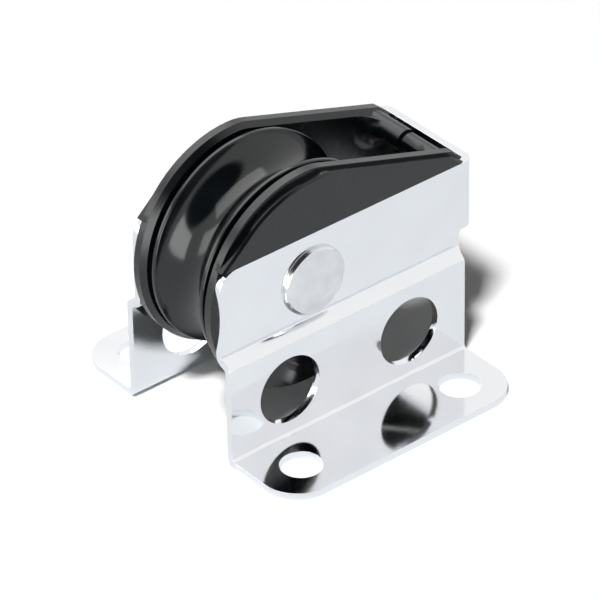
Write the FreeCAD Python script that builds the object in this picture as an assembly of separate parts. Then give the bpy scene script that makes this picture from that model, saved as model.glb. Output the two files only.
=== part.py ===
import FreeCAD, Part
import math
import os

# Stand-up block for a small line. A grooved sheave runs on two rows of plastic balls between
# two moulded cheeks, and one folded stainless frame holds them upright on two feet.
# Lengths are in millimetres. The origin is the centre of the four screw holes, on the deck.
# X runs from the open front to the closed rear, Y along the axle and Z up.

V = FreeCAD.Vector

# Feet and screw holes
hole_spacing_x = 25.4
hole_spacing_y = 31.75
screw_hole_radius = 2.7
foot_end_margin = 5.9
foot_side_margin = 5.375
foot_corner_radius = 5.0

# Folded sheet
sheet = 1.0
bend_radius = 0.5
joggle_below_rivet_head = 1.08
joggle_drop = 0.8
joggle_step = 1.65
joggle_radius = 0.2
wall_above_axle = 6.6
front_corner_radius = 2.7
rear_overhang = 2.95
rear_wall_above_joggle = 2.45
relief_radius = 0.6

# Round windows in the side walls
window_spacing = 19.0
window_above_foot = 1.88
window_below_joggle = 1.43

# Axle, rivet and sleeve
axle_x = -4.3
axle_height = 20.4
shank_radius = 3.0
shank_clearance = 0.05
rivet_head_overhang = 1.97
rivet_head_height = 1.05
rivet_dome_rise = 0.25
rivet_edge_radius = 0.4
sleeve_wall = 0.5
sleeve_clearance = 0.03

# Ball race, from the hub outwards
ball_count = 13
ball_radius = 1.5875
ball_clearance = 0.05
ball_spacing = 0.1754
land_width = 1.2
land_clearance = 0.5375
shoulder_clearance = 0.3375

# Sheave: with the hub and balls these come to 28.6 over the flanges
groove_floor = 2.3625
groove_depth = 3.3
groove_width = 8.6
flange_land = 0.65
rim_edge_radius = 0.2
face_relief_depth = 0.3
face_inner_land = 0.96
face_outer_land = 1.4

# Cheeks
side_clearance = 0.7
cheek_thickness = 1.75
rim_overhang = 0.72
rim_land = 1.1
rear_run_drop = 0.32
rear_slope = 17.5
crown_radius = 8.0
rear_cut = 1.85
cheek_above_rear_wall = 0.6
cheek_corner_clearance = 0.3
pad_step = 1.0
pad_rear_step = 0.4
pad_front_slope = 41.5
pad_crown_slope = 4.0
pad_crown_radius = 4.0
pad_rear_gap = 0.6
pad_rear_cut = 1.6
pad_end_radius = 1.0
pad_bevel = 0.3

# Post that ties the cheeks together behind the sheave
post_to_rear_wall = 2.85
post_below_rim = 1.82
post_flare = 2.4
spigot_radius = 1.0
spigot_reach = 1.8
collar_step = 0.3
collar_gap = 0.5
socket_clearance = 0.05
socket_wall = 0.45

# Radii that follow, from the axle outwards
sleeve_bore_radius = shank_radius + shank_clearance
sleeve_radius = sleeve_bore_radius + sleeve_wall
cheek_bore_radius = sleeve_radius + sleeve_clearance
race_radius = ball_radius + ball_clearance
ball_pitch_radius = (ball_radius + ball_spacing / 2) / math.sin(math.pi / ball_count)
hub_radius = ball_pitch_radius - race_radius
bore_radius = ball_pitch_radius + race_radius
sheave_radius = bore_radius + groove_floor + groove_depth
cheek_radius = sheave_radius + rim_overhang
pad_radius = cheek_radius - pad_step
rear_run = cheek_radius - rear_run_drop
rivet_head_radius = shank_radius + rivet_head_overhang

# Distances that follow, from the middle plane outwards
ball_row_y = land_width / 2 + race_radius
shoulder_y = ball_row_y + race_radius
sheave_half = groove_width / 2 + flange_land
cheek_inner = sheave_half + side_clearance
wall_inner = cheek_inner + cheek_thickness
wall_outer = wall_inner + sheet
lower_wall_outer = wall_outer + joggle_step
foot_edge = hole_spacing_y / 2 + foot_side_margin
cheek_bevel = cheek_thickness - rim_land

# Places that follow, along X and Z
foot_end = hole_spacing_x / 2 + foot_end_margin
rear_wall_x = foot_end + rear_overhang
rear_inner_x = rear_wall_x - sheet
wall_height = axle_height + wall_above_axle
joggle_top = axle_height - rivet_head_radius - joggle_below_rivet_head
joggle_bottom = joggle_top - joggle_drop
rear_wall_bottom = joggle_top + rear_wall_above_joggle
window_bottom = sheet + window_above_foot
window_radius = (joggle_bottom - window_below_joggle - window_bottom) / 2
window_height = window_bottom + window_radius
axle = V(axle_x, 0, axle_height)
y_axis = V(0, 1, 0)
middle = V(0, 0, 0)


def line(start, end):
    return Part.LineSegment(start, end).toShape()


def arc(start, through, end):
    return Part.Arc(start, through, end).toShape()


def around(centre, radius, degrees, plane):
    """Point on a circle in the plane XY or XZ."""
    step = radius * math.cos(math.radians(degrees))
    rise = radius * math.sin(math.radians(degrees))
    if plane == "XY":
        return centre + V(step, rise, 0)
    return centre + V(step, 0, rise)


def filled(edges):
    return Part.Face(Part.Wire(Part.__sortEdges__(edges)))


def mirrored(shape):
    return shape.mirror(middle, y_axis)


def turned(edges):
    """Solid of revolution about the Y axis, from edges drawn with X as the radius."""
    return filled(edges).revolve(middle, y_axis, 360)


def turned_on_both_sides(edges):
    return turned(edges + [mirrored(edge) for edge in edges])


def tube(radius, start, end, x=0.0, z=0.0):
    """Round bar along Y."""
    return Part.makeCylinder(radius, end - start, V(x, start, z), y_axis)


def rounded_outline(corners):
    """Closed run of lines with an arc at each corner: (point, radius) pairs, in any plane."""
    edges = []
    arc_ends = []
    for index, (corner, radius) in enumerate(corners):
        before = (corners[index - 1][0] - corner).normalize()
        after = (corners[(index + 1) % len(corners)][0] - corner).normalize()
        half_turn = before.getAngle(after) / 2
        if radius == 0 or half_turn > math.radians(89.9):
            arc_ends.append((corner, corner))
            continue
        reach = radius / math.tan(half_turn)
        to_centre = (before + after).normalize()
        deep = radius / math.sin(half_turn) - radius
        start = corner + before * reach
        end = corner + after * reach
        edges.append(arc(start, corner + to_centre * deep, end))
        arc_ends.append((start, end))
    for index, ends in enumerate(arc_ends):
        edges.append(line(arc_ends[index - 1][1], ends[0]))
    return filled(edges)


def fold_corner(before, corner, after, thickness):
    """The matching corner of the sheet's other face, to the left of the way of travel."""
    first = (corner - before).normalize()
    second = (after - corner).normalize()
    normal = V(1, 0, 0).cross(first)
    turn = second.dot(normal)
    along = (1 - first.dot(second)) / turn if abs(turn) > 1e-9 else 0
    return corner + normal * thickness - first * along * thickness


def side_section():
    """Section of one side of the frame: foot, lower wall, joggle and upper wall."""
    faces = [
        V(0, foot_edge, sheet),
        V(0, lower_wall_outer, sheet),
        V(0, lower_wall_outer, joggle_bottom),
        V(0, wall_outer, joggle_top),
        V(0, wall_outer, wall_height),
    ]
    inside_radii = [bend_radius, joggle_radius, joggle_radius]
    near = [(faces[0], 0)]
    far = [(V(0, foot_edge, 0), 0)]
    for index, inside in enumerate(inside_radii):
        before, corner, after = faces[index:index + 3]
        opposite = fold_corner(before, corner, after, sheet)
        outside = inside + sheet
        left_turn = (corner - before).cross(after - corner).x > 0
        near.append((corner, outside if left_turn else inside))
        far.append((opposite, inside if left_turn else outside))
    near.append((faces[-1], 0))
    far.append((V(0, wall_inner, wall_height), 0))
    return rounded_outline(near + far[::-1])


def make_frame():
    """One sheet, folded: two feet, two joggled walls and the wall across the rear."""
    side = side_section()
    side.translate(V(-foot_end, 0, 0))
    side = side.extrude(V(2 * foot_end + relief_radius, 0, 0))

    plan = rounded_outline([
        (V(0, -wall_outer, 0), 0),
        (V(rear_wall_x, -wall_outer, 0), bend_radius + sheet),
        (V(rear_wall_x, wall_outer, 0), bend_radius + sheet),
        (V(0, wall_outer, 0), 0),
        (V(0, wall_inner, 0), 0),
        (V(rear_inner_x, wall_inner, 0), bend_radius),
        (V(rear_inner_x, -wall_inner, 0), bend_radius),
        (V(0, -wall_inner, 0), 0),
    ])
    band_bottom = rear_wall_bottom - relief_radius
    plan.translate(V(0, 0, band_bottom))
    band = plan.extrude(V(0, 0, wall_height - band_bottom))
    folded = side.fuse([mirrored(side), band])

    past = 2 * foot_edge
    outline = rounded_outline([
        (V(-foot_end, -past, 0), 0),
        (V(foot_end, -past, 0), 0),
        (V(foot_end, -past, rear_wall_bottom), relief_radius),
        (V(rear_wall_x, -past, rear_wall_bottom), 0),
        (V(rear_wall_x, -past, wall_height), 0),
        (V(-foot_end, -past, wall_height), front_corner_radius),
    ])
    frame = folded.common(outline.extrude(V(0, 2 * past, 0)))

    for side_x in (-1, 1):
        window_x = side_x * window_spacing / 2
        frame = frame.cut(tube(window_radius, -past, past, window_x, window_height))
        for side_y in (-1, 1):
            place = V(side_x * hole_spacing_x / 2, side_y * hole_spacing_y / 2, -sheet)
            frame = frame.cut(Part.makeCylinder(screw_hole_radius, 3 * sheet, place))
    frame = frame.cut(tube(sleeve_bore_radius, -past, past, axle_x, axle_height))
    frame = frame.removeSplitter()
    corners = [edge for edge in frame.Edges if is_foot_corner(edge.CenterOfMass)]
    return frame.makeFillet(foot_corner_radius, corners)


def is_foot_corner(point):
    return abs(abs(point.x) - foot_end) < 0.01 and abs(abs(point.y) - foot_edge) < 0.01


def make_sheave():
    """Grooved wheel with a counterbore on each side for a row of balls."""
    groove_half = groove_width / 2
    groove_bottom = sheave_radius - groove_depth
    groove_radius = (groove_half ** 2 + groove_depth ** 2) / (2 * groove_depth)
    wall_angle = math.asin(groove_half / groove_radius) / 2
    groove_middle = V(
        groove_bottom + groove_radius * (1 - math.cos(wall_angle)),
        groove_radius * math.sin(wall_angle), 0)
    race_centre = V(ball_pitch_radius, ball_row_y, 0)
    land_bore = hub_radius + land_clearance
    relief_y = sheave_half - face_relief_depth
    inner = [
        V(land_bore, 0, 0),
        V(land_bore, land_width / 2, 0),
        V(ball_pitch_radius, land_width / 2, 0),
    ]
    outer = [
        V(bore_radius, ball_row_y, 0),
        V(bore_radius, sheave_half, 0),
        V(bore_radius + face_inner_land, sheave_half, 0),
        V(bore_radius + face_inner_land + face_relief_depth, relief_y, 0),
        V(sheave_radius - face_outer_land - face_relief_depth, relief_y, 0),
        V(sheave_radius - face_outer_land, sheave_half, 0),
        V(sheave_radius, sheave_half, 0),
        V(sheave_radius, groove_half, 0),
    ]
    edges = [line(a, b) for a, b in zip(inner, inner[1:])]
    edges.append(arc(inner[-1], around(race_centre, race_radius, -45, "XY"), outer[0]))
    edges += [line(a, b) for a, b in zip(outer, outer[1:])]
    edges.append(arc(outer[-1], groove_middle, V(groove_bottom, 0, 0)))
    sheave = turned_on_both_sides(edges)
    rims = [edge for edge in sheave.Edges if is_rim(edge)]
    return sheave.makeFillet(rim_edge_radius, rims).translate(axle)


def is_rim(edge):
    centre = edge.CenterOfMass
    on_axle = abs(centre.x) < 0.01 and abs(centre.z) < 0.01
    return on_axle and abs(edge.Length - 2 * math.pi * sheave_radius) < 0.01


def make_ball(side, index):
    """One of the loose balls, which stand evenly round the race."""
    row = axle + V(0, side * ball_row_y, 0)
    return Part.makeSphere(ball_radius, around(row, ball_pitch_radius, 360 * index / ball_count, "XZ"))


def run_height(x, distance):
    """Height over the axle, x behind it, of a straight run at this distance from the axle."""
    slope = math.radians(rear_slope)
    return (distance - x * math.sin(slope)) / math.cos(slope)


def cheek_outline(inset):
    """Disc over the sheave's flange, drawn out straight to the rear wall."""
    rear = rear_inner_x - axle_x
    radius = cheek_radius - inset
    run = rear_run - inset
    cut = rear - rear_cut
    blend = crown_radius - inset
    lean = 90 - rear_slope + math.degrees(math.acos((run - blend) / (radius - blend)))
    crown = around(middle, radius - blend, lean, "XZ")
    top = around(middle, radius, lean, "XZ")
    blend_middle = around(crown, blend, (lean + 90 - rear_slope) / 2, "XZ")
    blend_end = around(crown, blend, 90 - rear_slope, "XZ")
    run_end = V(cut, 0, run_height(cut, run))
    rear_top = V(rear, 0, wall_above_axle - inset)
    rear_low = V(rear, 0, rear_wall_bottom + cheek_above_rear_wall - axle_height)
    low_angle = math.atan2(rear_low.z, rear_low.x) - math.acos(radius / rear_low.Length)
    low = around(middle, radius, math.degrees(low_angle), "XZ")
    front = around(middle, radius, 180, "XZ")
    return filled([
        arc(top, blend_middle, blend_end), line(blend_end, run_end), line(run_end, rear_top),
        line(rear_top, rear_low), line(rear_low, low), arc(low, front, top),
    ])


def cheek_plate():
    """The outline as a plate, bevelled inside and rounded for the bend at the rear."""
    plate = cheek_outline(0).translate(V(0, cheek_inner, 0)).extrude(V(0, cheek_thickness, 0))
    rim = [edge for edge in edges_at(plate, cheek_inner) if not is_upright(edge)]
    plate = plate.makeChamfer(cheek_bevel, rim)
    rear = [edge for edge in edges_at(plate, wall_inner) if is_upright(edge)]
    return plate.makeFillet(bend_radius + cheek_corner_clearance, rear)


def edges_at(shape, y):
    """Edges that lie in the plane at y."""
    return [
        edge for edge in shape.Edges
        if abs(edge.BoundBox.YMin - y) < 0.01 and edge.BoundBox.YLength < 0.01
    ]


def is_upright(edge):
    return edge.BoundBox.XLength < 0.01


def crossing(slope_a, distance_a, slope_b, distance_b):
    """Where two straight runs at these distances from the axle meet."""
    a, b = math.radians(slope_a), math.radians(slope_b)
    turn = math.sin(a - b)
    return V(
        (distance_a * math.cos(b) - distance_b * math.cos(a)) / turn, 0,
        (distance_b * math.sin(a) - distance_a * math.sin(b)) / turn)


def cheek_pad():
    """Raised part of the cheek that stands flush with the wall and sits on its top edge."""
    below = wall_above_axle - sheet
    run = rear_run - pad_rear_step
    shoulder = crossing(-pad_front_slope, pad_radius, -pad_crown_slope, pad_radius)
    crown = crossing(-pad_crown_slope, pad_radius, rear_slope, run)
    low_front = V(shoulder.x - (shoulder.z - below) / math.tan(math.radians(pad_front_slope)), 0, below)
    end = rear_inner_x - axle_x - pad_rear_gap
    cut = end - pad_rear_cut
    cut_top = V(cut, 0, run_height(cut, run))
    cut_slope = (cut_top.z - wall_above_axle) / pad_rear_cut
    low_end = V(end + sheet / cut_slope, 0, below)
    root = wall_inner - rim_land / 2
    face = rounded_outline([
        (low_front, 0), (shoulder, pad_radius), (crown, pad_crown_radius), (cut_top, pad_end_radius), (low_end, 0),
    ])
    face.translate(V(0, root, 0))
    pad = face.extrude(V(0, wall_outer - root, 0))
    rim = [edge for edge in edges_at(pad, wall_outer) if edge.CenterOfMass.z > below + 0.01]
    pad = pad.makeChamfer(pad_bevel, rim)
    width = low_end.x - low_front.x
    return pad.cut(Part.makeBox(
        2 * width, 2 * wall_outer, 2 * sheet, V(low_front.x - width / 2, 0, below - sheet)))


def cheek_hub():
    """Boss that carries the balls: a race on the hub and a shoulder beside the row."""
    race_centre = V(ball_pitch_radius, ball_row_y, 0)
    race_end = V(ball_pitch_radius, shoulder_y, 0)
    shoulder_radius = bore_radius - shoulder_clearance
    root = V(shoulder_radius, wall_inner - rim_land, 0)
    corners = [
        race_end, V(shoulder_radius, shoulder_y, 0), root,
        V(cheek_bore_radius, root.y, 0), V(cheek_bore_radius, 0, 0), V(hub_radius, 0, 0),
        V(hub_radius, ball_row_y, 0),
    ]
    edges = [line(a, b) for a, b in zip(corners, corners[1:])]
    edges.append(arc(corners[-1], around(race_centre, race_radius, 135, "XY"), race_end))
    return turned(edges)


def make_cheek(add_post):
    """Cheek for the side with positive Y, with its half of the rear post."""
    cheek = cheek_plate().fuse([cheek_pad(), cheek_hub()])
    cheek = cheek.cut(tube(cheek_bore_radius, -sheet, wall_outer))
    x = rear_inner_x - axle_x - post_to_rear_wall
    z = run_height(x, rear_run) - post_below_rim
    return add_post(cheek, x, z).removeSplitter().translate(axle)


def flared(cheek, radius, start, x, z):
    """The cheek with a bar that starts at y = start and grows into the cheek's inner face."""
    spread = cheek_inner - post_flare
    foot = V(radius + post_flare, cheek_inner, 0)
    centre = V(radius + post_flare, spread, 0)
    flare = turned([
        line(V(0, spread, 0), V(radius, spread, 0)),
        arc(V(radius, spread, 0), around(centre, post_flare, 135, "XY"), foot),
        line(foot, V(0, cheek_inner, 0)), line(V(0, cheek_inner, 0), V(0, spread, 0)),
    ]).translate(V(x, 0, z))
    within = cheek_outline(cheek_bevel).extrude(V(0, wall_inner, 0))
    return cheek.fuse([flare.common(within), tube(radius, start, wall_inner - rim_land, x, z)])


def with_boss(cheek, x, z):
    socket_radius = spigot_radius + socket_clearance
    cheek = flared(cheek, socket_radius + socket_wall, 0, x, z)
    return cheek.cut(tube(socket_radius, -sheet, spigot_reach + socket_clearance, x, z))


def with_spigot(cheek, x, z):
    cheek = flared(cheek, spigot_radius + collar_step, collar_gap, x, z)
    return cheek.fuse(tube(spigot_radius, -spigot_reach, wall_inner - rim_land, x, z))


def make_rivet():
    """Axle rivet with a domed head against each wall."""
    rim = rivet_head_radius
    crown = V(0, wall_outer + rivet_head_height, 0)
    rise = rivet_dome_rise
    dome_foot = V(rim - rivet_edge_radius, crown.y - rise, 0)
    dome_radius = (dome_foot.x ** 2 + rise ** 2) / (2 * rise)
    half_angle = math.asin(dome_foot.x / dome_radius) / 2
    dome_middle = V(
        dome_radius * math.sin(half_angle), crown.y - dome_radius * (1 - math.cos(half_angle)), 0)
    edge_centre = dome_foot - V(0, rivet_edge_radius, 0)
    edge_end = V(rim, edge_centre.y, 0)
    edges = [
        line(middle, crown),
        arc(crown, dome_middle, dome_foot),
        arc(dome_foot, around(edge_centre, rivet_edge_radius, 45, "XY"), edge_end),
        line(edge_end, V(rim, wall_outer, 0)),
        line(V(rim, wall_outer, 0), V(shank_radius, wall_outer, 0)),
        line(V(shank_radius, wall_outer, 0), V(shank_radius, 0, 0)),
        line(V(shank_radius, 0, 0), middle),
    ]
    half = turned(edges)
    return half.fuse(mirrored(half)).removeSplitter().translate(axle)


def make_sleeve():
    """Tube on the rivet that sets the distance between the walls."""
    sleeve = tube(sleeve_radius, -wall_inner, wall_inner)
    return sleeve.cut(tube(sleeve_bore_radius, -wall_outer, wall_outer)).translate(axle)


def save(name, shape):
    if shape.ShapeType != "Solid" and len(shape.Solids) == 1:
        shape = shape.Solids[0]
    shape.exportStep("parts/" + name + ".step")
    print(name, shape.isValid(), round(shape.Volume, 2))


os.makedirs("parts", exist_ok=True)
save("frame", make_frame())
save("cheek_far", make_cheek(with_boss))
save("cheek_near", mirrored(make_cheek(with_spigot)))
save("sheave", make_sheave())
save("axle_rivet", make_rivet())
save("hub_sleeve", make_sleeve())
for row, side in (("near", -1), ("far", 1)):
    for index in range(ball_count):
        save("ball_%s_%02d" % (row, index + 1), make_ball(side, index))
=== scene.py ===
import math

import bmesh
import bpy
from mathutils import Matrix, Vector
from mathutils.bvhtree import BVHTree


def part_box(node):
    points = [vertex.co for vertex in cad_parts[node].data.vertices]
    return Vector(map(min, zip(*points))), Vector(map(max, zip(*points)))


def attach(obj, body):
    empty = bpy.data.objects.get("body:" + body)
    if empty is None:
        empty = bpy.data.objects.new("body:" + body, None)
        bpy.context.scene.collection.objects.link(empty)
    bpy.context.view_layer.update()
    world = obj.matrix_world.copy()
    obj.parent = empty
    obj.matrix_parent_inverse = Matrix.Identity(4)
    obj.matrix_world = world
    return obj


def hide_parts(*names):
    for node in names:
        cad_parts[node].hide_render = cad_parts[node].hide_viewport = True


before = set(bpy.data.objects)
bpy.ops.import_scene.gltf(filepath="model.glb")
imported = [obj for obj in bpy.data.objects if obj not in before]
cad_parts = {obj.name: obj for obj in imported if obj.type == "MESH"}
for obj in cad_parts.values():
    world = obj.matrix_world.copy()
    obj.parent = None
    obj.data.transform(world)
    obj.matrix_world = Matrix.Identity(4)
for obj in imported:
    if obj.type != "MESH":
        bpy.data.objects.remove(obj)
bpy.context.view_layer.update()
print("frame loaded")

mm = 0.001
axle = (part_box("sheave")[0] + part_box("sheave")[1]) / 2  # middle of the sheave, on the axle's line


# Nodes, for materials and for Geometry Nodes alike

def addNode(tree, kind, inputs=None, **settings):
    node = tree.nodes.new(kind)
    for name, value in settings.items():
        setattr(node, name, value)
    for key, value in (inputs or {}).items():
        if isinstance(value, bpy.types.NodeSocket):
            tree.links.new(value, node.inputs[key])
        else:
            node.inputs[key].default_value = value
    return node


def newMaterial(name):
    material = bpy.data.materials.new(name)
    material.use_nodes = True
    tree = material.node_tree
    tree.nodes.clear()
    return material, tree


def objectPlace(tree, stretch=(1, 1, 1), origin=(0, 0, 0)):
    coords = addNode(tree, "ShaderNodeTexCoord").outputs["Object"]
    moved = addNode(tree, "ShaderNodeVectorMath", {0: coords, 1: origin}, operation="SUBTRACT")
    return addNode(tree, "ShaderNodeMapping", {
        "Vector": moved.outputs[0], "Scale": stretch,
    }).outputs["Vector"]


def noise(tree, place, perMetre, detail):
    return addNode(tree, "ShaderNodeTexNoise", {
        "Vector": place, "Scale": perMetre, "Detail": detail, "Roughness": 0.5,
    }).outputs["Fac"]


noiseRange = (0.3, 0.7)  # where most of a noise texture's values lie


def spread(tree, value, low, high):
    return addNode(tree, "ShaderNodeMapRange", {
        "Value": value, "From Min": noiseRange[0], "From Max": noiseRange[1],
        "To Min": low, "To Max": high,
    }).outputs["Result"]


def blendColours(tree, factor, first, second):
    mix = addNode(tree, "ShaderNodeMix", data_type="RGBA")
    tree.links.new(factor, mix.inputs["Factor"])
    mix.inputs[6].default_value = (*first, 1)
    mix.inputs[7].default_value = (*second, 1)
    return mix.outputs[2]


def bump(tree, height, strength, depth, normal=None):
    node = addNode(tree, "ShaderNodeBump", {
        "Height": height, "Strength": strength, "Distance": depth,
    })
    if normal:
        tree.links.new(normal, node.inputs["Normal"])
    return node.outputs["Normal"]


def finishMaterial(tree, inputs):
    shader = addNode(tree, "ShaderNodeBsdfPrincipled", inputs)
    addNode(tree, "ShaderNodeOutputMaterial", {"Surface": shader.outputs["BSDF"]})


# Finishes

frameSteel = {
    "pale": (0.86, 0.87, 0.89), "grey": (0.83, 0.84, 0.86),
    "smooth": 0.06, "rough": 0.11, "cloudsPerMetre": 160, "grainPerMetre": 5200,
    "grainStretch": (0.25, 1, 1), "grainStrength": 0.35, "grainDepth": 0.004 * mm,
}
rivetSteel = {
    "pale": (0.80, 0.81, 0.83), "grey": (0.70, 0.71, 0.74),
    "smooth": 0.12, "rough": 0.22, "cloudsPerMetre": 420, "grainPerMetre": 4200,
    "grainStretch": (1, 0.3, 1), "grainStrength": 0.35, "grainDepth": 0.006 * mm,
}
cutSteel = {
    "pale": (0.84, 0.85, 0.87), "grey": (0.76, 0.77, 0.79),
    "smooth": 0.30, "rough": 0.42, "cloudsPerMetre": 600, "grainPerMetre": 5200,
    "grainStretch": (1, 1, 1), "grainStrength": 0.35, "grainDepth": 0.008 * mm,
}
sleeveSteel = {
    "pale": (0.72, 0.73, 0.75), "grey": (0.62, 0.63, 0.65),
    "smooth": 0.18, "rough": 0.30, "cloudsPerMetre": 500, "grainPerMetre": 6000,
    "grainStretch": (1, 0.1, 1), "grainStrength": 0.35, "grainDepth": 0.006 * mm,
}


def makeSteel(name, look):
    material, tree = newMaterial(name)
    place = objectPlace(tree)
    clouds = noise(tree, place, look["cloudsPerMetre"], 4)
    grain = noise(tree, objectPlace(tree, look["grainStretch"]), look["grainPerMetre"], 2)
    finishMaterial(tree, {
        "Base Color": blendColours(tree, spread(tree, clouds, 0, 1), look["pale"], look["grey"]),
        "Metallic": 1.0,
        "Roughness": spread(tree, clouds, look["smooth"], look["rough"]),
        "Normal": bump(tree, grain, look["grainStrength"], look["grainDepth"]),
    })
    return material


cheekBlack = {
    "dark": (0.0012, 0.002, 0.0026), "pale": (0.0022, 0.004, 0.005),
    "smooth": 0.22, "rough": 0.30, "cloudsPerMetre": 300, "pitsPerMetre": 3400,
    "pitStrength": 0.4, "pitDepth": 0.012 * mm, "specular": 0.58, "rings": 0.0,
}
sheaveBlack = {
    "dark": (0.001, 0.0018, 0.0024), "pale": (0.002, 0.0034, 0.0044),
    "smooth": 0.10, "rough": 0.18, "cloudsPerMetre": 240, "pitsPerMetre": 2600,
    "pitStrength": 0.4, "pitDepth": 0.006 * mm, "specular": 0.58,
    "rings": 0.3, "ringsPerMetre": 900, "ringDepth": 0.004 * mm,
}


def makeBlack(name, look):
    material, tree = newMaterial(name)
    place = objectPlace(tree)
    clouds = noise(tree, place, look["cloudsPerMetre"], 4)
    pits = noise(tree, place, look["pitsPerMetre"], 3)
    normal = bump(tree, pits, look["pitStrength"], look["pitDepth"])
    if look["rings"]:  # faint marks round the axle, as left by turning
        rings = addNode(tree, "ShaderNodeTexWave", {
            "Vector": objectPlace(tree, origin=axle), "Scale": look["ringsPerMetre"],
            "Distortion": 0.4, "Detail": 2,
        }, wave_type="BANDS", bands_direction="Y").outputs["Fac"]
        normal = bump(tree, rings, look["rings"], look["ringDepth"], normal)
    finishMaterial(tree, {
        "Base Color": blendColours(tree, spread(tree, clouds, 0, 1), look["dark"], look["pale"]),
        "Roughness": spread(tree, clouds, look["smooth"], look["rough"]),
        "Specular IOR Level": look["specular"],
        "Normal": normal,
    })
    return material


ballWhite = {
    "pale": (0.82, 0.82, 0.79), "warm": (0.76, 0.76, 0.72), "smooth": 0.22, "rough": 0.32,
    "cloudsPerMetre": 700, "grainPerMetre": 6000, "grainStrength": 0.2, "grainDepth": 0.004 * mm,
    "glow": 0.15, "glowDepth": 0.3 * mm,
}


def makeAcetal(name, look):
    material, tree = newMaterial(name)
    place = objectPlace(tree)
    clouds = noise(tree, place, look["cloudsPerMetre"], 3)
    grain = noise(tree, place, look["grainPerMetre"], 2)
    finishMaterial(tree, {
        "Base Color": blendColours(tree, spread(tree, clouds, 0, 1), look["pale"], look["warm"]),
        "Roughness": spread(tree, clouds, look["smooth"], look["rough"]),
        "Subsurface Weight": look["glow"], "Subsurface Scale": look["glowDepth"],
        "Normal": bump(tree, grain, look["grainStrength"], look["grainDepth"]),
    })
    return material


steel = makeSteel("polishedStainless", frameSteel)
cutEdge = makeSteel("satinCutEdge", cutSteel)
rivetMetal = makeSteel("rivetStainless", rivetSteel)
sleeveMetal = makeSteel("sleeveStainless", sleeveSteel)
cheekPlastic = makeBlack("cheekBlackMoulded", cheekBlack)
sheavePlastic = makeBlack("sheaveBlackGloss", sheaveBlack)
ballPlastic = makeAcetal("ballWhiteAcetal", ballWhite)
print("finishes made")


# Pieces cut from sheet or moulded: the solid's own faces with their sharp edges eased

easedEdges = {  # sharper: the angle in degrees above which an edge is eased
    "frame": {"width": 0.16 * mm, "steps": 3, "sharper": 32, "sheet": 1.0 * mm},
    "cheek": {"width": 0.14 * mm, "steps": 3, "sharper": 26},
}
justInside = 0.02 * mm
samePlace = 0.0001 * mm
sameFlat = math.radians(0.4)


# A face of the sheet has metal behind it for one thickness, a cut edge for much more
def markCutEdges(work, sheet):
    tree = BVHTree.FromBMesh(work)
    for face in work.faces:
        inside = face.calc_center_median() - face.normal * justInside
        reach = tree.ray_cast(inside, -face.normal)[3]
        face.material_index = 1 if reach is None or reach > 1.5 * sheet else 0


# Where the sheet's bends are moved to follow the photo, and how far in X and Z, in millimetres
bendShifts = [
    {"x": (-25.0, 25.0), "z": (12.6, 15.6), "move": (0.0, 0.82)},
    {"x": (18.5, 25.0), "z": (16.1, 16.95), "move": (0.0, 0.6)},
    {"x": (18.5, 19.3), "z": (13.9, 16.95), "move": (0.45, 0.0)},
]


def shiftBends(work, shifts):
    for vert in work.verts:
        here = vert.co.copy()
        for shift in shifts:
            (left, right), (low, high) = shift["x"], shift["z"]
            if left * mm < here.x < right * mm and low * mm < here.z < high * mm:
                vert.co += Vector((shift["move"][0], 0, shift["move"][1])) * mm


def mergedMesh(node, name, sheet):
    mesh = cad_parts[node].data.copy()
    mesh.name = name
    work = bmesh.new()
    work.from_mesh(mesh)
    bmesh.ops.remove_doubles(work, verts=work.verts, dist=samePlace)
    for face in work.faces:
        face.material_index = 0
    if sheet:
        markCutEdges(work, sheet)
        shiftBends(work, bendShifts)
    bmesh.ops.dissolve_limit(
        work, angle_limit=sameFlat, verts=work.verts, edges=work.edges, delimit={"MATERIAL"},
    )
    work.to_mesh(mesh)
    work.free()
    return mesh


def easedPiece(name, node, body, materials, edges):
    piece = bpy.data.objects.new(name, mergedMesh(node, name, edges.get("sheet")))
    bpy.context.scene.collection.objects.link(piece)
    piece.data.materials.clear()
    for material in materials:
        piece.data.materials.append(material)
    piece.data.shade_smooth()
    ease = piece.modifiers.new("ease", "BEVEL")
    ease.width = edges["width"]
    ease.segments = edges["steps"]
    ease.limit_method = "ANGLE"
    ease.angle_limit = math.radians(edges["sharper"])
    ease.use_clamp_overlap = True
    flatten = piece.modifiers.new("flatFaces", "WEIGHTED_NORMAL")
    flatten.weight = 100
    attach(piece, body)
    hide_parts(node)


easedPiece(
    "foldedFrame", "frame", "root", [steel, cutEdge], easedEdges["frame"],
)
for side in ("near", "far"):
    easedPiece(
        side + "Cheek", "cheek_" + side, "root", [cheekPlastic], easedEdges["cheek"],
    )
print("frame and cheeks made")


# Turned pieces: a half section swept round the axle by Geometry Nodes

def geometryTree(name, sockets):
    tree = bpy.data.node_groups.new(name, "GeometryNodeTree")
    tree.interface.new_socket("Geometry", in_out="INPUT", socket_type="NodeSocketGeometry")
    tree.interface.new_socket("Geometry", in_out="OUTPUT", socket_type="NodeSocketGeometry")
    for label, kind in sockets:
        tree.interface.new_socket(label, in_out="INPUT", socket_type=kind)
    return tree, addNode(tree, "NodeGroupInput").outputs


def endTree(tree, geometry, material):
    realized = addNode(tree, "GeometryNodeRealizeInstances", {"Geometry": geometry})
    painted = addNode(tree, "GeometryNodeSetMaterial", {
        "Geometry": realized.outputs[0], "Material": material,
    })
    addNode(tree, "NodeGroupOutput", {"Geometry": painted.outputs[0]})


seamGap = 0.0005 * mm
uprightTurn = (math.radians(90), 0, 0)  # from the XY plane to the sheave's own plane


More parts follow.
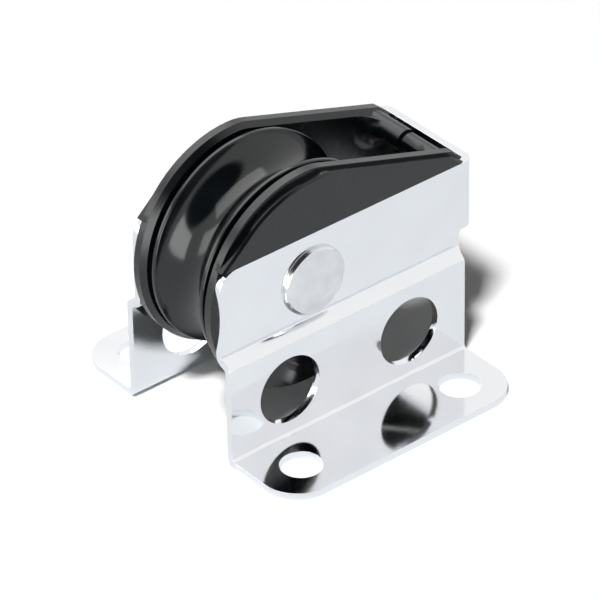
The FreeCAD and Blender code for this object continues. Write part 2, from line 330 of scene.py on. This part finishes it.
def makeTurningTree():
    tree, given = geometryTree("turnedAboutAxle", [
        ("Sweep Radius", "NodeSocketFloat"), ("Steps", "NodeSocketInt"),
        ("Axle", "NodeSocketVector"), ("Material", "NodeSocketMaterial"),
    ])
    section = addNode(tree, "GeometryNodeMeshToCurve", {"Mesh": given["Geometry"]})
    ring = addNode(tree, "GeometryNodeCurvePrimitiveCircle", {
        "Resolution": given["Steps"], "Radius": given["Sweep Radius"],
    })
    swept = addNode(tree, "GeometryNodeCurveToMesh", {
        "Curve": ring.outputs[0], "Profile Curve": section.outputs[0],
    })
    closed = addNode(tree, "GeometryNodeMergeByDistance", {
        "Geometry": swept.outputs[0], "Distance": seamGap,
    })
    stood = addNode(tree, "GeometryNodeTransform", {
        "Geometry": closed.outputs[0], "Translation": given["Axle"],
        "Rotation": uprightTurn,
    })
    smooth = addNode(tree, "GeometryNodeSetShadeSmooth", {"Geometry": stood.outputs[0]})
    endTree(tree, smooth.outputs[0], given["Material"])
    return tree


def makeBallRowTree():
    tree, given = geometryTree("ballsRoundHub", [
        ("Count", "NodeSocketInt"), ("Pitch Radius", "NodeSocketFloat"),
        ("Ball Radius", "NodeSocketFloat"), ("Row Centre", "NodeSocketVector"),
        ("Material", "NodeSocketMaterial"),
    ])
    ring = addNode(tree, "GeometryNodeMeshCircle", {
        "Vertices": given["Count"], "Radius": given["Pitch Radius"],
    })
    ball = addNode(tree, "GeometryNodeMeshIcoSphere", {
        "Radius": given["Ball Radius"], "Subdivisions": 4,
    })
    balls = addNode(tree, "GeometryNodeInstanceOnPoints", {
        "Points": ring.outputs[0], "Instance": ball.outputs[0],
    })
    stood = addNode(tree, "GeometryNodeTransform", {
        "Geometry": balls.outputs[0], "Translation": given["Row Centre"],
        "Rotation": uprightTurn,
    })
    smooth = addNode(tree, "GeometryNodeSetShadeSmooth", {"Geometry": stood.outputs[0]})
    endTree(tree, smooth.outputs[0], given["Material"])
    return tree


def setInputs(modifier, values):
    for socket in modifier.node_group.interface.items_tree:
        if socket.in_out == "INPUT" and socket.name in values:
            modifier[socket.identifier] = values[socket.name]


def grown(name, start, tree, values):
    holder = bpy.data.objects.new(name + "Holder", start)
    bpy.context.scene.collection.objects.link(holder)
    modifier = holder.modifiers.new("grow", "NODES")
    modifier.node_group = tree
    setInputs(modifier, values)
    seen = holder.evaluated_get(bpy.context.evaluated_depsgraph_get())
    mesh = bpy.data.meshes.new_from_object(seen)
    bpy.data.objects.remove(holder)
    work = bmesh.new()
    work.from_mesh(mesh)
    bmesh.ops.recalc_face_normals(work, faces=work.faces)
    work.to_mesh(mesh)
    work.free()
    mesh.name = name
    piece = bpy.data.objects.new(name, mesh)
    bpy.context.scene.collection.objects.link(piece)
    return piece


def profileMesh(name, outline, closed, sweepRadius):
    mesh = bpy.data.meshes.new(name)
    points = [(radius - sweepRadius, -along, 0) for radius, along in outline]
    edges = [(i, i + 1) for i in range(len(points) - 1)]
    if closed:
        edges.append((len(points) - 1, 0))
    mesh.from_pydata(points, edges, [])
    return mesh


def arcPoints(centre, radius, start, end, steps):
    turns = [math.radians(start + (end - start) * i / steps) for i in range(steps + 1)]
    return [(centre[0] + radius * math.cos(a), centre[1] + radius * math.sin(a)) for a in turns]


nearlyStraight = math.radians(88)  # half the angle of a corner too open to round


def rounded(corners, steps=5):
    points = []
    count = len(corners)
    for i, (corner, ease) in enumerate(corners):
        here = Vector(corner)
        if not ease:
            points.append(tuple(here))
            continue
        before = (Vector(corners[i - 1][0]) - here).normalized()
        after = (Vector(corners[(i + 1) % count][0]) - here).normalized()
        half = before.angle(after) / 2
        if half > nearlyStraight:
            points.append(tuple(here))
            continue
        reach = ease / math.tan(half)
        start, end = here + before * reach, here + after * reach
        middle = here + (before + after).normalized() * ease / math.sin(half)
        first, last = start - middle, end - middle
        for step in range(steps + 1):
            spoke = first.lerp(last, step / steps).normalized() * ease
            points.append(tuple(middle + spoke))
    return points


# One outline per turned piece: (radius, distance along the axle) pairs

sheaveSize = {
    "grooveDepth": 3.3 * mm, "grooveWidth": 8.6 * mm, "rimEase": 0.2 * mm, "faceEase": 0.12 * mm,
    "grooveSteps": 40, "raceSteps": 12, "innerLand": 0.96 * mm, "outerLand": 1.4 * mm,
    "relief": 0.3 * mm, "landWidth": 1.2 * mm, "landBore": 5.9 * mm, "ballPitch": 7.0 * mm,
    "raceRadius": 1.6375 * mm,
}


def sheaveOutline(size):
    low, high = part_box("sheave")
    rim = (high.z - low.z) / 2
    half = (high.y - low.y) / 2
    grooveHalf = size["grooveWidth"] / 2
    depth = size["grooveDepth"]
    race = size["raceRadius"]
    pitch = size["ballPitch"]
    rowAlong = size["landWidth"] / 2 + race
    bore = pitch + race
    relief = size["relief"]
    grooveRadius = (grooveHalf ** 2 + depth ** 2) / (2 * depth)
    lean = math.degrees(math.asin(grooveHalf / grooveRadius))
    faces = [
        ((bore, half), size["faceEase"]),
        ((bore + size["innerLand"], half), size["faceEase"]),
        ((bore + size["innerLand"] + relief, half - relief), size["faceEase"]),
        ((rim - size["outerLand"] - relief, half - relief), size["faceEase"]),
        ((rim - size["outerLand"], half), size["faceEase"]),
        ((rim, half), size["rimEase"]),
        ((rim, grooveHalf), size["rimEase"]),
    ]
    grooveCentre = (rim - depth + grooveRadius, 0)
    groove = arcPoints(grooveCentre, grooveRadius, 180 - lean, 180 + lean, size["grooveSteps"])
    raceArc = arcPoints((pitch, rowAlong), race, -90, 0, size["raceSteps"])
    inside = [(size["landBore"], 0), (size["landBore"], size["landWidth"] / 2)] + raceArc
    upper = rounded([(inside[-1], 0)] + faces + [(groove[1], 0)])
    lower = [(radius, -along) for radius, along in upper[1:-1]][::-1]
    return (inside + upper[1:-1] + groove[1:-1] + lower
            + [(radius, -along) for radius, along in inside[::-1]][:-1])


rivetSize = {
    "domeRise": 0.3 * mm, "edge": 0.6 * mm, "shank": 3.0 * mm, "drawnIn": 0.33 * mm,
    "domeSteps": 24, "edgeSteps": 10,
}


def rivetOutline(size):
    low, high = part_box("axle_rivet")
    reach = (high.y - low.y) / 2
    rim = (high.z - low.z) / 2 - size["drawnIn"]
    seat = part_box("cheek_far")[1].y  # the cheek's pad is flush with the wall under the head
    domeFoot = rim - size["edge"]
    domeRadius = (domeFoot ** 2 + size["domeRise"] ** 2) / (2 * size["domeRise"])
    lean = math.degrees(math.asin(domeFoot / domeRadius))
    edgeAlong = reach - size["domeRise"] - size["edge"]
    dome = arcPoints((0, reach - domeRadius), domeRadius, 90, 90 - lean, size["domeSteps"])
    edge = arcPoints((domeFoot, edgeAlong), size["edge"], 90, 0, size["edgeSteps"])
    half = dome + edge[1:] + [(rim, seat), (size["shank"], seat)]
    return half + [(radius, -along) for radius, along in half[::-1]]


sleeveSize = {"wall": 0.5 * mm, "endEase": 0.06 * mm}


def sleeveOutline(size):
    low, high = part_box("hub_sleeve")
    outside = (high.z - low.z) / 2
    inside = outside - size["wall"]
    corners = [(inside, low.y), (outside, low.y), (outside, high.y), (inside, high.y)]
    return rounded([(corner, size["endEase"]) for corner in corners], 3)


turningTree = makeTurningTree()
sweepRadius = 6 * mm
sweepSteps = 240


def turnedPiece(name, node, body, outline, closed, material):
    section = profileMesh(name + "Section", outline, closed, sweepRadius)
    piece = grown(name, section, turningTree, {
        "Sweep Radius": sweepRadius, "Steps": sweepSteps, "Axle": axle, "Material": material,
    })
    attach(piece, body)
    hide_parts(node)


turnedPiece(
    "groovedSheave", "sheave", "sheave",
    sheaveOutline(sheaveSize), True, sheavePlastic,
)
turnedPiece(
    "axleRivet", "axle_rivet", "root",
    rivetOutline(rivetSize), False, rivetMetal,
)
turnedPiece(
    "hubSleeve", "hub_sleeve", "root",
    sleeveOutline(sleeveSize), True, sleeveMetal,
)
print("turned pieces made")

ballTree = makeBallRowTree()
ballNames = sorted(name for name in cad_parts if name.startswith("ball_"))
for side in ("near", "far"):
    names = [name for name in ballNames if side in name]
    low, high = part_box(names[0])
    centre = Vector((axle.x, (low.y + high.y) / 2, axle.z))
    row = grown(side + "BallRow", bpy.data.meshes.new("empty"), ballTree, {
        "Count": len(names), "Pitch Radius": (low.x + high.x) / 2 - axle.x,
        "Ball Radius": (high.y - low.y) / 2, "Row Centre": centre, "Material": ballPlastic,
    })
    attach(row, "balls_" + side)
    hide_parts(*names)
print("ball rows made")


# Studio

studio = {
    "floorSize": 1.6, "floorColour": (0.98, 0.98, 0.98), "mirroredFloor": (0.80, 0.825, 0.845),
    "ambient": 0.12,
}

# Directions are in degrees, with azimuth from -Y towards +X. The room is darker round the camera.
shade = {"azimuth": -38, "elevation": 54, "from": 36, "to": 46, "left": 0.04}

# Radiance is in watts per square metre and steradian
softboxes = {
    "keyBox": {
        "azimuth": -55, "elevation": 61, "distance": 2.0, "width": 0.28, "height": 0.28,
        "radiance": 181.0, "mirrored": False, "scattered": True,
    },
    "sideBox": {
        "azimuth": -57, "elevation": 3, "distance": 0.09, "width": 0.08, "height": 0.046,
        "radiance": 3.4, "mirrored": True, "scattered": False,
    },
    "topBox": {
        "azimuth": -176, "elevation": 61, "distance": 0.60, "width": 0.84, "height": 0.42,
        "radiance": 1.7, "mirrored": True, "scattered": False,
    },
    "leftBox": {
        "azimuth": -138, "elevation": 10, "distance": 0.30, "width": 0.24, "height": 0.14,
        "radiance": 1.8, "mirrored": True, "scattered": False,
    },
}


def direction(azimuth, elevation):
    across, up = math.radians(azimuth), math.radians(elevation)
    return Vector((math.sin(across) * math.cos(up), -math.cos(across) * math.cos(up), math.sin(up)))


def makeFloor(size):
    half = size["floorSize"] / 2
    mesh = bpy.data.meshes.new("paleFloor")
    corners = [(-half, -half, 0), (half, -half, 0), (half, half, 0), (-half, half, 0)]
    mesh.from_pydata(corners, [], [(0, 1, 2, 3)])
    floor = bpy.data.objects.new("paleFloor", mesh)
    bpy.context.scene.collection.objects.link(floor)
    material, tree = newMaterial("paleFloor")
    rays = addNode(tree, "ShaderNodeLightPath").outputs
    colour = blendColours(tree, rays["Is Glossy Ray"], size["floorColour"], size["mirroredFloor"])
    paint = addNode(tree, "ShaderNodeBsdfDiffuse", {"Color": colour})
    addNode(tree, "ShaderNodeOutputMaterial", {"Surface": paint.outputs[0]})
    mesh.materials.append(material)


def makeWorld(size, shade):
    world = bpy.data.worlds.new("studio")
    world.use_nodes = True
    tree = world.node_tree
    tree.nodes.clear()
    rays = addNode(tree, "ShaderNodeLightPath").outputs
    shiny = addNode(tree, "ShaderNodeMath", {
        0: rays["Is Glossy Ray"], 1: rays["Is Transmission Ray"]}, operation="MAXIMUM")
    first = addNode(tree, "ShaderNodeMath", {
        0: shiny.outputs[0], 1: rays["Diffuse Depth"]}, operation="SUBTRACT", use_clamp=True)
    towards = addNode(tree, "ShaderNodeTexCoord").outputs["Generated"]
    near = addNode(tree, "ShaderNodeVectorMath", {
        0: towards, 1: direction(shade["azimuth"], shade["elevation"])}, operation="DOT_PRODUCT")
    room = addNode(tree, "ShaderNodeMapRange", {
        "Value": near.outputs["Value"], "From Min": math.cos(math.radians(shade["to"])),
        "From Max": math.cos(math.radians(shade["from"])), "To Min": 1.0, "To Max": shade["left"],
    }, interpolation_type="SMOOTHSTEP")
    lit = addNode(tree, "ShaderNodeMapRange", {
        "Value": first.outputs[0], "To Min": size["ambient"], "To Max": room.outputs[0]})
    strength = addNode(tree, "ShaderNodeMapRange", {
        "Value": rays["Is Camera Ray"], "To Min": lit.outputs[0], "To Max": 1.0})
    light = addNode(tree, "ShaderNodeBackground", {
        "Color": (1, 1, 1, 1), "Strength": strength.outputs[0],
    })
    addNode(tree, "ShaderNodeOutputWorld", {"Surface": light.outputs[0]})
    bpy.context.scene.world = world


def addSoftbox(name, size):
    light = bpy.data.lights.new(name, "AREA")
    light.shape = "RECTANGLE"
    light.size = size["width"]
    light.size_y = size["height"]
    light.energy = size["radiance"] * math.pi * size["width"] * size["height"]
    lamp = bpy.data.objects.new(name, light)
    aim = direction(size["azimuth"], size["elevation"])
    lamp.location = axle + aim * size["distance"]
    lamp.rotation_euler = (-aim).to_track_quat("-Z", "Y").to_euler()
    lamp.visible_camera = False
    lamp.visible_glossy = size["mirrored"]
    lamp.visible_diffuse = size["scattered"]
    bpy.context.scene.collection.objects.link(lamp)


makeFloor(studio)
makeWorld(studio, shade)
for name, size in softboxes.items():
    addSoftbox(name, size)
print("studio made")


# Camera at the photograph's angle

view = {
    "azimuth": -38.829, "elevation": 33.755, "roll": -1.193, "distance": 0.56895,
    "target": (-0.0013, 0.0, 0.018), "lens": 279.5, "shiftX": 0.01976, "shiftY": -0.0702,
}


def makeCamera(view):
    across = math.radians(view["azimuth"])
    back = direction(view["azimuth"], view["elevation"])
    right = Vector((math.cos(across), math.sin(across), 0))
    above = back.cross(right)
    roll = math.radians(view["roll"])
    rolledRight = right * math.cos(roll) + above * math.sin(roll)
    rolledAbove = above * math.cos(roll) - right * math.sin(roll)
    turn = Matrix((rolledRight, rolledAbove, back)).transposed().to_4x4()
    data = bpy.data.cameras.new("photoCamera")
    data.sensor_width = 36
    data.lens = view["lens"]
    data.shift_x = view["shiftX"]
    data.shift_y = view["shiftY"]
    data.clip_start = 0.01
    camera = bpy.data.objects.new("photoCamera", data)
    place = Vector(view["target"]) + back * view["distance"]
    camera.matrix_world = Matrix.Translation(place) @ turn
    bpy.context.scene.collection.objects.link(camera)
    bpy.context.scene.camera = camera


makeCamera(view)
bpy.context.scene.view_settings.view_transform = "Standard"
print("camera set")
